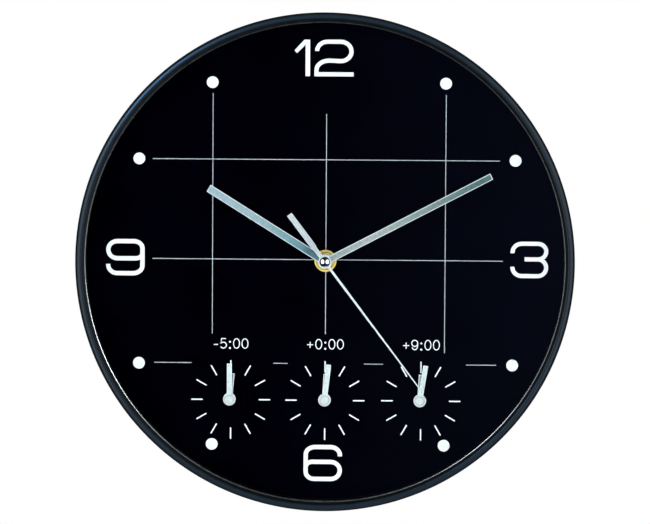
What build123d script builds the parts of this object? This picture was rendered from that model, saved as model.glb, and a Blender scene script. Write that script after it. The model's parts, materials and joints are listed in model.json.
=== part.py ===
"""Round wall clock: one large dial and three small dials that show the time in other zones.

Millimetres, +Z up. The dial faces -Y and the wall is the plane Y = 0.
The origin is the centre of the keyhole in the hanger plate.
Heights are measured from the wall towards the viewer.
Places on the dial are (x to the right, z up) from the main shaft.
"""

from build123d import *

import os
from math import cos, hypot, radians, sin, sqrt

# Battery and movement
BATTERY_RADIUS = 7.1
BATTERY_LENGTH = 49.2
BATTERY_NUB_RADIUS = 2.75
BATTERY_NUB_LENGTH = 1.2
BATTERY_CLEARANCE = 0.2
CONTACT_ROOM = 1.4
CONTACT_THICKNESS = 0.4
CONTACT_WIDTH = 8.0
CONTACT_SPAN = 9.0
BAY_WALL = 1.4
BAY_FLOOR = 1.4
BAY_EDGE = 1.4
FRONT_WALL = 1.6
SIDE_WALL = 2.0
MOVEMENT_CORNER = 4.0
CHAMBER_CORNER = 2.0
COVER_THICKNESS = 1.2
COVER_EDGE = 0.8
COVER_CORNER = 3.0
GASKET_THICKNESS = 0.8
GASKET_RADIUS = 13.0

# Wheels and arbors
WHEEL_THICKNESS = 1.0
WHEEL_GAP = 0.6
BRIDGE_THICKNESS = 1.0
ADDENDUM = 0.8
DEDENDUM = 1.2
ROOT_SHARE = 0.26
TIP_SHARE = 0.10
ROTOR_PINION_TEETH = 6
STEP_WHEEL_TEETH = 30
STEP_PINION_TEETH = 6
SECOND_WHEEL_TEETH = 36
SECOND_PINION_TEETH = 6
THIRD_WHEEL_TEETH = 45
THIRD_PINION_TEETH = 6
CENTRE_WHEEL_TEETH = 48
CANNON_TEETH = 8
MOTION_WHEEL_TEETH = 24
MOTION_PINION_TEETH = 6
HOUR_WHEEL_TEETH = 24
ROTOR_DISTANCE = 7.2
ROTOR_BEARING = 25.0
STEP_DISTANCE = 8.4
STEP_BEARING = 20.0
THIRD_DISTANCE = 9.72
THIRD_BEARING = 170.0
CENTRE_WHEEL_ROOM = 1.072
MOTION_DISTANCE = 10.4
MOTION_BEARING = 95.0
ARBOR_RADIUS = 0.5
MOTION_ARBOR_RADIUS = 0.9
MINUTE_TAIL_RADIUS = 1.2
MINUTE_ARBOR_RADIUS = 1.6
HOUR_TUBE_WALL = 0.85
RUNNING_GAP = 0.05
PRESS_GAP = 0.02
PIVOT_DEPTH = 0.8
ROTOR_RADIUS = 3.0
ROTOR_LENGTH = 2.6
STATOR_GAP = 0.5
STATOR_LOBE = 1.5
STATOR_THICKNESS = 1.0
STATOR_ARM = 3.5
STATOR_REACH = 20.0
STATOR_ROOM = 0.3
COIL_HEIGHT = 21.2
COIL_ROOM = 0.4
COIL_LENGTH = 30.0
COIL_RADIUS = 3.8
COIL_FLANGE = 8.8
COIL_FLANGE_THICKNESS = 1.2
CORE_WIDTH = 3.2
CORE_GAP = 0.1
POST_RADIUS = 1.4
BRIDGE_LEFT = 19.0
BRIDGE_RIGHT = 21.0
BRIDGE_ROOM = 0.4
BRIDGE_BOTTOM = 6.0
BRIDGE_CORNER = 1.8
BOARD_WIDTH = 5.0
BOARD_HEIGHT = 18.0
BOARD_THICKNESS = 1.0
BOARD_SIDE_GAP = 0.6
BOARD_DEPTH = 12.0
CHIP_SIZE = 3.0
CHIP_THICKNESS = 0.8
KNOB_RADIUS = 5.0
KNOB_THICKNESS = 2.0
KNOB_GAP = 0.3
KNOB_TEETH = 24
KNOB_WALL_GAP = 2.5

# Bushes, nut and washer
MAIN_BUSH_RADIUS = 4.0
ZONE_BUSH_RADIUS = 3.4
BUSH_HOLE_GAP = 0.2
ZONE_BUSH_RISE = 0.9
WASHER_RADIUS = 7.2
WASHER_THICKNESS = 0.8
WASHER_ROLL = 0.7
WASHER_ROLL_SIDES = 8
NUT_RADIUS = 5.6
NUT_HEIGHT = 2.6
NUT_CHAMFER = 0.5
NUT_SLOT = 1.2
NUT_SLOT_DEPTH = 0.9
THREAD_GAP = 0.05
THREAD_RUNOUT = 1.2
EAR_WIDTH = 10.0
EAR_REACH = 6.0
EAR_THICKNESS = 2.0
EAR_SCREW_RADIUS = 1.1
EAR_SCREW_HEAD = 2.4
EAR_SCREW_HEAD_HEIGHT = 1.4
EAR_SCREW_DEPTH = 1.8
SCREW_GAP = 0.1

# Hands
HAND_THICKNESS = 0.5
HAND_GAP = 0.5
HAND_COLLAR = 0.8
COLLAR_WALL = 1.0
HOUR_LENGTH = 84.2
HOUR_WIDTH = 4.8
HOUR_HUB_RADIUS = 4.4
HOUR_ANGLE = 301.9
MINUTE_LENGTH = 114.4
MINUTE_WIDTH = 4.0
MINUTE_HUB_RADIUS = 4.1
MINUTE_ANGLE = 62.4
SECOND_LENGTH = 96.0
SECOND_WIDTH = 1.5
SECOND_TIP_WIDTH = 1.1
SECOND_TAIL_LENGTH = 36.3
SECOND_TAIL_WIDTH = 3.4
SECOND_NECK_LENGTH = 11.0
SECOND_NECK_WIDTH = 2.6
SECOND_HUB_RADIUS = 3.85
SECOND_ANGLE = 142.9
CAP_RADIUS = 3.2
CAP_HEIGHT = 1.3
CAP_EDGE = 0.3
ZONE_HOUR_LENGTH = 16.0
ZONE_HOUR_WIDTH = 3.2
ZONE_HOUR_COLLAR = 1.8
ZONE_HUB_RADIUS = 3.85
ZONE_MINUTE_LENGTH = 22.0
ZONE_MINUTE_WIDTH = 3.0
ZONE_CAP_RADIUS = 2.75
ZONE_CAP_HEIGHT = 1.0
ZONE_CAP_CHAMFER = 0.5
ZONE_CLEARANCE = 1.2
GLASS_GAP = 2.3
ZONE_HOUR_ANGLES = {"left": 5.5, "middle": 3.3, "right": 3.4}
ZONE_MINUTE_ANGLES = {"left": 0.0, "middle": 6.5, "right": 9.3}

# Dial, plate and case
ZONE_DROP = 85.4
MOVEMENT_GAP = 2.5
DIAL_THICKNESS = 0.8
PLATE_THICKNESS = 2.4
GLASS_THICKNESS = 2.0
GLASS_CHAMFER = 0.3
LIP_THICKNESS = 2.4
LIP_STEP = 0.8
LIP_BEAD = 0.7
LIP_OVERLAP = 2.5
FACE_WIDTH = 4.0
CROWN_RADIUS = 4.0
EDGE_DROP = 1.2
LEDGE_CLEARANCE = 3.3
LEDGE_WIDTH = 4.3
LEDGE_THICKNESS = 2.4
SEAT_GAP = 0.25
CASE_WALL = 1.8
SKIRT_GAP = 0.15
SKIRT_WALL = 1.6
SKIRT_DEPTH = 14.0
SKIRT_DRAFT = 0.5
REAR_WALL = 2.0
REAR_INSET = 2.3
SPACER_WALL = 1.8
RIB_THICKNESS = 1.6
RIB_HEIGHT = 4.0
RIB_INNER = 46.0
RIB_EDGE = 9.0
RIB_BEARINGS = (-15, 15, 45, 75, 105, 135, 165, 195)
FENCE_GAP = 0.4
FENCE_WALL = 1.5
FENCE_HEIGHT = 3.0

# Hanger
HANGER_WIDTH = 56.0
HANGER_ABOVE = 14.0
HANGER_BELOW = 12.0
HANGER_CORNER = 5.0
HANGER_THICKNESS = 1.6
HANGER_EDGE_GAP = 14.4
KEYHOLE_RADIUS = 4.5
KEYHOLE_SLOT_WIDTH = 4.4
KEYHOLE_SLOT_LENGTH = 9.0
HANGER_SCREW_SPREAD = 20.0
HANGER_SCREW_RADIUS = 1.5
HANGER_SCREW_HEAD = 2.8
HANGER_SCREW_LENGTH = 10.0
HANGER_BOSS_RADIUS = 4.0

# Gear modules follow from the distances between the arbors, the knob's from its radius
rotor_module = 2 * ROTOR_DISTANCE / (ROTOR_PINION_TEETH + STEP_WHEEL_TEETH)
step_module = 2 * STEP_DISTANCE / (STEP_PINION_TEETH + SECOND_WHEEL_TEETH)
second_module = 2 * THIRD_DISTANCE / (SECOND_PINION_TEETH + THIRD_WHEEL_TEETH)
third_module = 2 * THIRD_DISTANCE / (THIRD_PINION_TEETH + CENTRE_WHEEL_TEETH)
cannon_module = 2 * MOTION_DISTANCE / (CANNON_TEETH + MOTION_WHEEL_TEETH)
hour_module = 2 * MOTION_DISTANCE / (MOTION_PINION_TEETH + HOUR_WHEEL_TEETH)
knob_module = KNOB_RADIUS / (KNOB_TEETH / 2 + ADDENDUM)

# A movement is as wide as its battery needs, and as high as its wheels, coil and battery need
centre_wheel_radius = third_module * (CENTRE_WHEEL_TEETH / 2 + ADDENDUM)
chamber_low = -centre_wheel_radius - CENTRE_WHEEL_ROOM
chamber_high = COIL_HEIGHT + COIL_FLANGE / 2 + COIL_ROOM
chamber_height = chamber_high - chamber_low
chamber_middle = (chamber_low + chamber_high) / 2
bay_length = BATTERY_LENGTH + BATTERY_NUB_LENGTH + 2 * CONTACT_ROOM
bay_width = 2 * (BATTERY_RADIUS + BATTERY_CLEARANCE)
bay_middle = chamber_low - SIDE_WALL - bay_width / 2
movement_width = bay_length + 2 * BAY_WALL
movement_depth = BAY_FLOOR + bay_width
movement_low = bay_middle - bay_width / 2 - BAY_EDGE
movement_high = chamber_high + SIDE_WALL
movement_height = movement_high - movement_low
movement_middle = (movement_low + movement_high) / 2
chamber_width = movement_width - 2 * SIDE_WALL
stator_low = COIL_HEIGHT - COIL_FLANGE / 2 - STATOR_ROOM - STATOR_ARM
bridge_top = stator_low - BRIDGE_ROOM

# Heights above the wall
plate_rear = (
    KNOB_WALL_GAP + KNOB_THICKNESS + KNOB_GAP + COVER_THICKNESS + movement_depth + GASKET_THICKNESS
)
main_front = plate_rear - GASKET_THICKNESS
zone_front = plate_rear
plate_front = plate_rear + PLATE_THICKNESS
dial_front = plate_front + DIAL_THICKNESS
zone_bush_top = dial_front + ZONE_BUSH_RISE
zone_hour_low = zone_bush_top + HAND_GAP + ZONE_HOUR_COLLAR
zone_tube_top = zone_hour_low + HAND_THICKNESS
zone_minute_low = zone_tube_top + HAND_GAP + HAND_COLLAR
zone_cap_top = zone_minute_low + HAND_THICKNESS + ZONE_CAP_HEIGHT
nut_top = dial_front + WASHER_THICKNESS + NUT_HEIGHT
main_bush_top = nut_top + THREAD_RUNOUT
hour_low = zone_cap_top + ZONE_CLEARANCE
hour_tube_top = hour_low + HAND_THICKNESS
minute_low = hour_tube_top + HAND_GAP + HAND_COLLAR
minute_top = minute_low + HAND_THICKNESS
second_low = minute_top + HAND_GAP + HAND_COLLAR
second_top = second_low + HAND_THICKNESS
glass_rear = second_top + CAP_HEIGHT + GLASS_GAP
glass_front = glass_rear + GLASS_THICKNESS
case_front = glass_front + LIP_THICKNESS

# Radii, from the movements outwards
zone_pitch = movement_width + MOVEMENT_GAP
corner_x = zone_pitch + movement_width / 2 - MOVEMENT_CORNER
corner_z = ZONE_DROP - movement_low - MOVEMENT_CORNER
corner_radius = hypot(corner_x, corner_z) + MOVEMENT_CORNER
ledge_inner = corner_radius + LEDGE_CLEARANCE
seat_radius = ledge_inner + LEDGE_WIDTH
wall_inner = seat_radius + SEAT_GAP
wall_outer = wall_inner + CASE_WALL
skirt_inner = wall_outer + SKIRT_GAP
case_radius = skirt_inner + SKIRT_WALL
rear_outer = wall_outer - REAR_INSET
rear_inner = rear_outer - REAR_WALL
spacer_inner = seat_radius - SPACER_WALL
lip_inner = seat_radius - LIP_OVERLAP
hour_tube_bore = MINUTE_ARBOR_RADIUS + RUNNING_GAP
hour_tube_radius = hour_tube_bore + HOUR_TUBE_WALL
bush_bore = hour_tube_radius + RUNNING_GAP
hanger_rise = rear_inner - HANGER_EDGE_GAP - HANGER_ABOVE

# Levels in a movement, measured from its front face
hour_level = -(FRONT_WALL + WHEEL_GAP)
motion_level = hour_level - WHEEL_THICKNESS - WHEEL_GAP
centre_level = motion_level - WHEEL_THICKNESS - WHEEL_GAP
bridge_level = centre_level - WHEEL_THICKNESS - WHEEL_GAP
bridge_rear = bridge_level - BRIDGE_THICKNESS
third_level = bridge_rear - WHEEL_GAP
second_level = third_level - WHEEL_THICKNESS - WHEEL_GAP
step_level = second_level - WHEEL_THICKNESS - WHEEL_GAP
rotor_level = bridge_rear - WHEEL_GAP
stator_level = rotor_level - (ROTOR_LENGTH - STATOR_THICKNESS) / 2
core_level = stator_level - STATOR_THICKNESS
pivot_end = -movement_depth - PIVOT_DEPTH
knob_level = -movement_depth - COVER_THICKNESS - KNOB_GAP


def polar(distance, bearing):
    """Point at a distance and an anticlockwise bearing from the x axis."""
    return (distance * cos(radians(bearing)), distance * sin(radians(bearing)))


def shifted(place, step):
    """Place moved by a step."""
    return (place[0] + step[0], place[1] + step[1])


# Places on the dial, and places of the arbors in a movement
MAIN = (0.0, 0.0)
ZONES = {
    "left": (-zone_pitch, -ZONE_DROP),
    "middle": (0.0, -ZONE_DROP),
    "right": (zone_pitch, -ZONE_DROP),
}
motion_place = polar(MOTION_DISTANCE, MOTION_BEARING)
third_place = polar(THIRD_DISTANCE, THIRD_BEARING)
step_place = polar(STEP_DISTANCE, STEP_BEARING)
rotor_place = shifted(step_place, polar(ROTOR_DISTANCE, ROTOR_BEARING))


def front_plane(height, place=MAIN):
    """Plane parallel to the dial that looks at the viewer."""
    return Plane((place[0], -height, place[1] - hanger_rise), x_dir=(1, 0, 0), z_dir=(0, -1, 0))


def rear_plane(height, place=MAIN):
    """Plane parallel to the dial that looks at the wall."""
    return Plane((place[0], -height, place[1] - hanger_rise), x_dir=(-1, 0, 0), z_dir=(0, 1, 0))


def hand_plane(height, place, angle):
    """Plane parallel to the dial whose y axis points along a hand, clockwise from twelve."""
    across = (cos(radians(angle)), 0, -sin(radians(angle)))
    return Plane((place[0], -height, place[1] - hanger_rise), x_dir=across, z_dir=(0, -1, 0))


def side_plane(height, place):
    """Plane square to the dial that looks to the right, at a height above the wall."""
    return Plane((place[0], -height, place[1] - hanger_rise), x_dir=(0, 1, 0), z_dir=(1, 0, 0))


def section_plane(place=MAIN):
    """Plane through a shaft, with the radius along x and the height along y."""
    return Plane((place[0], 0, place[1] - hanger_rise), x_dir=(1, 0, 0), z_dir=(0, 0, -1))


def shaft_axis(place=MAIN):
    """Line of a shaft."""
    return Axis((place[0], 0, place[1] - hanger_rise), (0, -1, 0))


def save(part, name):
    """Names a finished piece and writes it."""
    part.label = name
    export_step(part, f"parts/{name}.step")


def tooth_line(teeth, module, bearing):
    """Closed outline of a wheel with straight-sided teeth, one of them at the bearing."""
    root = module * (teeth / 2 - DEDENDUM)
    tip = module * (teeth / 2 + ADDENDUM)
    corners = ((root, -ROOT_SHARE), (tip, -TIP_SHARE), (tip, TIP_SHARE), (root, ROOT_SHARE))
    points = [
        polar(radius, bearing + (tooth + share) * 360 / teeth)
        for tooth in range(teeth)
        for radius, share in corners
    ]
    Polyline(*points, close=True)


def toothed_disc(height, place, teeth, module, bearing, thickness):
    """Adds a toothed disc to the part in hand, its front face at the height."""
    with BuildSketch(front_plane(height, place)) as outline:
        with BuildLine():
            tooth_line(teeth, module, bearing)
        make_face()
    extrude(outline.sketch, amount=-thickness)


def round_bar(low, high, place, radius, mode=Mode.ADD):
    """Adds or cuts a cylinder between two heights."""
    with BuildSketch(front_plane(low, place)) as outline:
        Circle(radius)
    extrude(outline.sketch, amount=high - low, mode=mode)


def gap_bearing(bearing, teeth):
    """Bearing of the tooth that puts a gap where the driving tooth comes in."""
    return bearing + 180 + 180 / teeth


# One file for each piece
os.makedirs("parts", exist_ok=True)

# Bezel ring: skirt, crowned front face, step and inner bead
crown_peak = case_radius - sqrt(2 * CROWN_RADIUS * EDGE_DROP - EDGE_DROP**2)
face_inner = case_radius - FACE_WIDTH
crown_end = case_front - CROWN_RADIUS + sqrt(CROWN_RADIUS**2 - (crown_peak - face_inner) ** 2)
edge_height = case_front - EDGE_DROP
step_height = case_front - LIP_STEP
with BuildPart() as bezel_ring:
    with BuildSketch(section_plane()):
        with BuildLine():
            Polyline(
                (face_inner, crown_end),
                (face_inner, step_height),
                (lip_inner + LIP_BEAD, step_height),
                (lip_inner, step_height - LIP_BEAD),
                (lip_inner, glass_front),
                (skirt_inner, glass_front),
                (skirt_inner, case_front - SKIRT_DEPTH),
                (case_radius - SKIRT_DRAFT, case_front - SKIRT_DEPTH),
                (case_radius, edge_height),
            )
            ThreePointArc((case_radius, edge_height), (crown_peak, case_front), (face_inner, crown_end))
        make_face()
    revolve(axis=shaft_axis())
save(bezel_ring.part, "bezel_ring")

# Front glass: flat disc with a fine edge chamfer
with BuildPart() as front_glass:
    round_bar(glass_rear, glass_front, MAIN, seat_radius)
    chamfer(front_glass.edges(), GLASS_CHAMFER)
save(front_glass.part, "front_glass")

# Spacer ring: keeps the glass off the dial
with BuildPart() as spacer_ring:
    with BuildSketch(front_plane(dial_front)):
        Circle(seat_radius)
        Circle(spacer_inner, mode=Mode.SUBTRACT)
    extrude(amount=glass_rear - dial_front)
save(spacer_ring.part, "spacer_ring")

# Case ring: tapered rear wall with the ledge that the back plate lies on
ledge_rear = plate_rear - LEDGE_THICKNESS
taper_height = case_front - SKIRT_DEPTH
ledge_wall = rear_inner + REAR_INSET * ledge_rear / taper_height
wall_top = glass_front - SEAT_GAP
with BuildPart() as case_ring:
    with BuildSketch(section_plane()):
        with BuildLine():
            Polyline(
                (rear_inner, 0),
                (rear_outer, 0),
                (wall_outer, taper_height),
                (wall_outer, wall_top),
                (wall_inner, wall_top),
                (wall_inner, plate_rear),
                (ledge_inner, plate_rear),
                (ledge_inner, ledge_rear),
                (ledge_wall, ledge_rear),
                close=True,
            )
        make_face()
    revolve(axis=shaft_axis())
save(case_ring.part, "case_ring")

# Dial: thin plate with a hole for each shaft bush
with BuildPart() as dial:
    round_bar(plate_front, dial_front, MAIN, seat_radius)
    round_bar(plate_front, dial_front, MAIN, MAIN_BUSH_RADIUS + BUSH_HOLE_GAP, Mode.SUBTRACT)
    for place in ZONES.values():
        round_bar(plate_front, dial_front, place, ZONE_BUSH_RADIUS + BUSH_HOLE_GAP, Mode.SUBTRACT)
save(dial.part, "dial")

# Back plate: carries the movements and the hanger, stiffened by ribs
rib_outer = ledge_inner - RIB_EDGE
rib_length = rib_outer - RIB_INNER
ear_middles = (movement_low - EAR_REACH / 2, movement_high + EAR_REACH / 2)
ear_screw_places = [shifted(place, (0, middle)) for place in ZONES.values() for middle in ear_middles]
ear_pilot = EAR_SCREW_RADIUS + SCREW_GAP
hanger_screw_places = [(side * HANGER_SCREW_SPREAD, hanger_rise) for side in (-1, 1)]
hanger_pilot = HANGER_SCREW_RADIUS + SCREW_GAP
hanger_screw_end = HANGER_SCREW_LENGTH + SCREW_GAP
with BuildPart() as back_plate:
    round_bar(plate_rear, plate_front, MAIN, seat_radius)
    with BuildSketch(rear_plane(plate_rear)):
        for bearing in RIB_BEARINGS:
            with PolarLocations(RIB_INNER + rib_length / 2, 1, start_angle=bearing):
                Rectangle(rib_length, RIB_THICKNESS)
    extrude(amount=RIB_HEIGHT)
    with BuildSketch(rear_plane(plate_rear, (0, movement_middle))):
        for gap, mode in ((FENCE_GAP + FENCE_WALL, Mode.ADD), (FENCE_GAP, Mode.SUBTRACT)):
            Rectangle(movement_width + 2 * gap, movement_height + 2 * gap, mode=mode)
    extrude(amount=FENCE_HEIGHT)
    for place in hanger_screw_places:
        round_bar(HANGER_THICKNESS, plate_rear, place, HANGER_BOSS_RADIUS)
        round_bar(HANGER_THICKNESS, hanger_screw_end, place, hanger_pilot, Mode.SUBTRACT)
    for place in ear_screw_places:
        round_bar(plate_rear, plate_rear + EAR_SCREW_DEPTH, place, ear_pilot, Mode.SUBTRACT)
    round_bar(plate_rear, plate_front, MAIN, MAIN_BUSH_RADIUS + BUSH_HOLE_GAP, Mode.SUBTRACT)
    for place in ZONES.values():
        round_bar(plate_rear, plate_front, place, ZONE_BUSH_RADIUS + BUSH_HOLE_GAP, Mode.SUBTRACT)
save(back_plate.part, "back_plate")

# Hanger plate: steel strip with a keyhole, its rear face in the plane of the wall
hanger_middle = hanger_rise + (HANGER_ABOVE - HANGER_BELOW) / 2
with BuildPart() as hanger_plate:
    with BuildSketch(front_plane(0, (0, hanger_middle))):
        RectangleRounded(HANGER_WIDTH, HANGER_ABOVE + HANGER_BELOW, HANGER_CORNER)
    extrude(amount=HANGER_THICKNESS)
    with BuildSketch(front_plane(0, (0, hanger_rise))):
        Circle(KEYHOLE_RADIUS)
        with Locations((0, KEYHOLE_SLOT_LENGTH / 2)):
            Rectangle(KEYHOLE_SLOT_WIDTH, KEYHOLE_SLOT_LENGTH)
        with Locations((0, KEYHOLE_SLOT_LENGTH)):
            Circle(KEYHOLE_SLOT_WIDTH / 2)
    extrude(amount=HANGER_THICKNESS, mode=Mode.SUBTRACT)
    for place in hanger_screw_places:
        with Locations(rear_plane(0, place)):
            CounterSinkHole(hanger_pilot, HANGER_SCREW_HEAD + SCREW_GAP, HANGER_THICKNESS)
save(hanger_plate.part, "hanger_plate")

# Hanger screws: countersunk, flush with the hanger plate
head_depth = HANGER_SCREW_HEAD - HANGER_SCREW_RADIUS
with BuildPart() as hanger_screws:
    for place in hanger_screw_places:
        with BuildSketch(section_plane(place)) as screw_section:
            with BuildLine():
                Polyline(
                    (0, 0),
                    (HANGER_SCREW_HEAD, 0),
                    (HANGER_SCREW_RADIUS, head_depth),
                    (HANGER_SCREW_RADIUS, HANGER_SCREW_LENGTH),
                    (0, HANGER_SCREW_LENGTH),
                    close=True,
                )
            make_face()
        revolve(screw_section.sketch, axis=shaft_axis(place))
save(hanger_screws.part, "hanger_screws")

# Screws through the ears of the zone movements
with BuildPart() as zone_movement_screws:
    for place in ear_screw_places:
        head_front = plate_rear - EAR_THICKNESS
        round_bar(head_front - EAR_SCREW_HEAD_HEIGHT, head_front, place, EAR_SCREW_HEAD)
        round_bar(head_front, plate_rear + EAR_SCREW_DEPTH - SCREW_GAP, place, EAR_SCREW_RADIUS)
save(zone_movement_screws.part, "zone_movement_screws")


def movement_base(place, front, bush_radius, bush_top, post_places):
    """Moulded tray of a movement: gear chamber and battery bay open to the rear, bush in front."""
    with BuildPart() as base:
        with BuildSketch(front_plane(front, place)) as outline:
            with Locations((0, movement_middle)):
                RectangleRounded(movement_width, movement_height, MOVEMENT_CORNER)
        extrude(outline.sketch, amount=-movement_depth)
        with BuildSketch(front_plane(front - FRONT_WALL, place)) as chamber:
            with Locations((0, chamber_middle)):
                RectangleRounded(chamber_width, chamber_height, CHAMBER_CORNER)
        extrude(chamber.sketch, amount=-movement_depth, mode=Mode.SUBTRACT)
        with BuildSketch(front_plane(front - BAY_FLOOR, place)) as bay:
            with Locations((0, bay_middle)):
                Rectangle(bay_length, bay_width)
        extrude(bay.sketch, amount=-movement_depth, mode=Mode.SUBTRACT)
        for post, level in post_places:
            round_bar(front + level, front - FRONT_WALL, shifted(place, post), POST_RADIUS)
        round_bar(front, bush_top, place, bush_radius)
        round_bar(front - FRONT_WALL, bush_top, place, bush_bore, Mode.SUBTRACT)
        cup = front - FRONT_WALL
        seat = shifted(place, motion_place)
        round_bar(cup, cup + PIVOT_DEPTH, seat, ARBOR_RADIUS + RUNNING_GAP, Mode.SUBTRACT)
    return base


def movement_cover(place, front, pivots):
    """Plate that closes the gear chamber, with a bearing hole for each arbor in pivots."""
    rear = front - movement_depth
    with BuildPart() as cover:
        with BuildSketch(front_plane(rear, place)) as outline:
            with Locations((0, chamber_middle)):
                width = chamber_width + 2 * COVER_EDGE
                RectangleRounded(width, chamber_height + 2 * COVER_EDGE, COVER_CORNER)
        extrude(outline.sketch, amount=-COVER_THICKNESS)
        for pivot, radius in pivots:
            hole = radius + RUNNING_GAP
            round_bar(rear - COVER_THICKNESS, rear, shifted(place, pivot), hole, Mode.SUBTRACT)
    return cover


def motion_wheel(place, front):
    """Wheel and pinion between the cannon pinion and the hour wheel, on the arbor of the knob."""
    seat = shifted(place, motion_place)
    inward = MOTION_BEARING + 180
    mesh_bearing = gap_bearing(MOTION_BEARING, MOTION_WHEEL_TEETH)
    shoulder = front - FRONT_WALL - WHEEL_GAP / 2
    pivot_top = shoulder + PIVOT_DEPTH
    pinion_front = front + hour_level
    wheel_front = front + motion_level
    pinion_length = WHEEL_THICKNESS + WHEEL_GAP
    with BuildPart() as wheel:
        round_bar(front + knob_level - KNOB_THICKNESS, shoulder, seat, MOTION_ARBOR_RADIUS)
        round_bar(shoulder, pivot_top, seat, ARBOR_RADIUS)
        toothed_disc(pinion_front, seat, MOTION_PINION_TEETH, hour_module, inward, pinion_length)
        toothed_disc(wheel_front, seat, MOTION_WHEEL_TEETH, cannon_module, mesh_bearing, WHEEL_THICKNESS)
    return wheel


def set_knob(place, front):
    """Toothed knob that turns the hands from behind."""
    seat = shifted(place, motion_place)
    grip_front = front + knob_level
    grip_bore = MOTION_ARBOR_RADIUS + PRESS_GAP
    with BuildPart() as knob:
        toothed_disc(grip_front, seat, KNOB_TEETH, knob_module, MOTION_BEARING, KNOB_THICKNESS)
        round_bar(grip_front - KNOB_THICKNESS, grip_front, seat, grip_bore, Mode.SUBTRACT)
    return knob


def hour_wheel(place, front, top):
    """Wheel with the tube that carries the hour hand."""
    mesh_bearing = gap_bearing(MOTION_BEARING + 180, HOUR_WHEEL_TEETH)
    wheel_front = front + hour_level
    with BuildPart() as wheel:
        toothed_disc(wheel_front, place, HOUR_WHEEL_TEETH, hour_module, mesh_bearing, WHEEL_THICKNESS)
        round_bar(wheel_front, top, place, hour_tube_radius)
        round_bar(wheel_front - WHEEL_THICKNESS, top, place, hour_tube_bore, Mode.SUBTRACT)
    return wheel


def minute_arbor(place, front, tail_end, top, bore):
    """Cannon pinion on the arbor that carries the minute hand, hollow where the second arbor passes."""
    cannon_front = front + motion_level
    with BuildPart() as arbor:
        round_bar(cannon_front - WHEEL_THICKNESS, top, place, MINUTE_ARBOR_RADIUS)
        toothed_disc(cannon_front, place, CANNON_TEETH, cannon_module, MOTION_BEARING, WHEEL_THICKNESS)
        round_bar(front + tail_end, cannon_front, place, MINUTE_TAIL_RADIUS)
        if bore:
            round_bar(front + tail_end, top, place, bore, Mode.SUBTRACT)
    return arbor


def battery(place, front):
    """Cylindrical cell, lying across the bay with its nub to the right."""
    length = BATTERY_LENGTH + BATTERY_NUB_LENGTH
    end_plane = side_plane(front - BAY_FLOOR - bay_width / 2, shifted(place, (-length / 2, bay_middle)))
    with BuildPart() as cell:
        with BuildSketch(end_plane) as can:
            Circle(BATTERY_RADIUS)
        extrude(can.sketch, amount=BATTERY_LENGTH)
        with BuildSketch(end_plane) as nub:
            Circle(BATTERY_NUB_RADIUS)
        extrude(nub.sketch, amount=length)
    return cell


def straight_hand(place, low, angle, bar, hub, bore, collar):
    """Flat bar hand with a round hub and a collar behind it that grips its shaft."""
    length, width = bar
    with BuildPart() as hand:
        with BuildSketch(hand_plane(low, place, angle)) as outline:
            Circle(hub)
            with Locations((0, length / 2)):
                Rectangle(width, length)
        extrude(outline.sketch, amount=HAND_THICKNESS)
        round_bar(low - collar, low, place, bore + COLLAR_WALL)
        round_bar(low - collar, low + HAND_THICKNESS, place, bore, Mode.SUBTRACT)
    return hand


# Main movement
bridge_posts = [
    (x, z)
    for x in (BRIDGE_CORNER - BRIDGE_LEFT, BRIDGE_RIGHT - BRIDGE_CORNER)
    for z in (BRIDGE_CORNER - BRIDGE_BOTTOM, bridge_top - BRIDGE_CORNER)
]
stator_posts = [
    (side * (STATOR_REACH - STATOR_ARM / 2), stator_low + STATOR_ARM / 2) for side in (-1, 1)
]
board_x = BOARD_SIDE_GAP + BOARD_WIDTH / 2 - chamber_width / 2
board_z = (chamber_low + BOARD_SIDE_GAP) + BOARD_HEIGHT / 2
board_posts = [(board_x, board_z + side * BOARD_HEIGHT / 3) for side in (-1, 1)]
main_posts = (
    [(post, bridge_level) for post in bridge_posts]
    + [(post, stator_level) for post in stator_posts]
    + [(post, -BOARD_DEPTH) for post in board_posts]
)
save(
    movement_base(MAIN, main_front, MAIN_BUSH_RADIUS, main_bush_top, main_posts).part,
    "main_movement_base",
)
main_pivots = [
    (MAIN, ARBOR_RADIUS),
    (third_place, ARBOR_RADIUS),
    (step_place, ARBOR_RADIUS),
    (rotor_place, ARBOR_RADIUS),
    (motion_place, MOTION_ARBOR_RADIUS),
]
save(movement_cover(MAIN, main_front, main_pivots).part, "main_movement_cover")

# Train bridge: plate between the centre wheel and the third wheel
with BuildPart() as main_train_bridge:
    with BuildSketch(front_plane(main_front + bridge_level)):
        with Locations(((BRIDGE_RIGHT - BRIDGE_LEFT) / 2, (bridge_top - BRIDGE_BOTTOM) / 2)):
            RectangleRounded(BRIDGE_RIGHT + BRIDGE_LEFT, bridge_top + BRIDGE_BOTTOM, BRIDGE_CORNER)
        Circle(MINUTE_TAIL_RADIUS + RUNNING_GAP, mode=Mode.SUBTRACT)
        with Locations(third_place, step_place, rotor_place):
            Circle(ARBOR_RADIUS + RUNNING_GAP, mode=Mode.SUBTRACT)
        with Locations(motion_place):
            Circle(MOTION_ARBOR_RADIUS + RUNNING_GAP, mode=Mode.SUBTRACT)
    extrude(amount=-BRIDGE_THICKNESS)
save(main_train_bridge.part, "main_train_bridge")

# Circuit board with its chip
with BuildPart() as main_circuit_board:
    with BuildSketch(front_plane(main_front - BOARD_DEPTH, (board_x, board_z))):
        Rectangle(BOARD_WIDTH, BOARD_HEIGHT)
    extrude(amount=-BOARD_THICKNESS)
    with BuildSketch(front_plane(main_front - BOARD_DEPTH - BOARD_THICKNESS, (board_x, board_z))):
        Rectangle(CHIP_SIZE, CHIP_SIZE)
    extrude(amount=-CHIP_THICKNESS)
save(main_circuit_board.part, "main_circuit_board")

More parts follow.
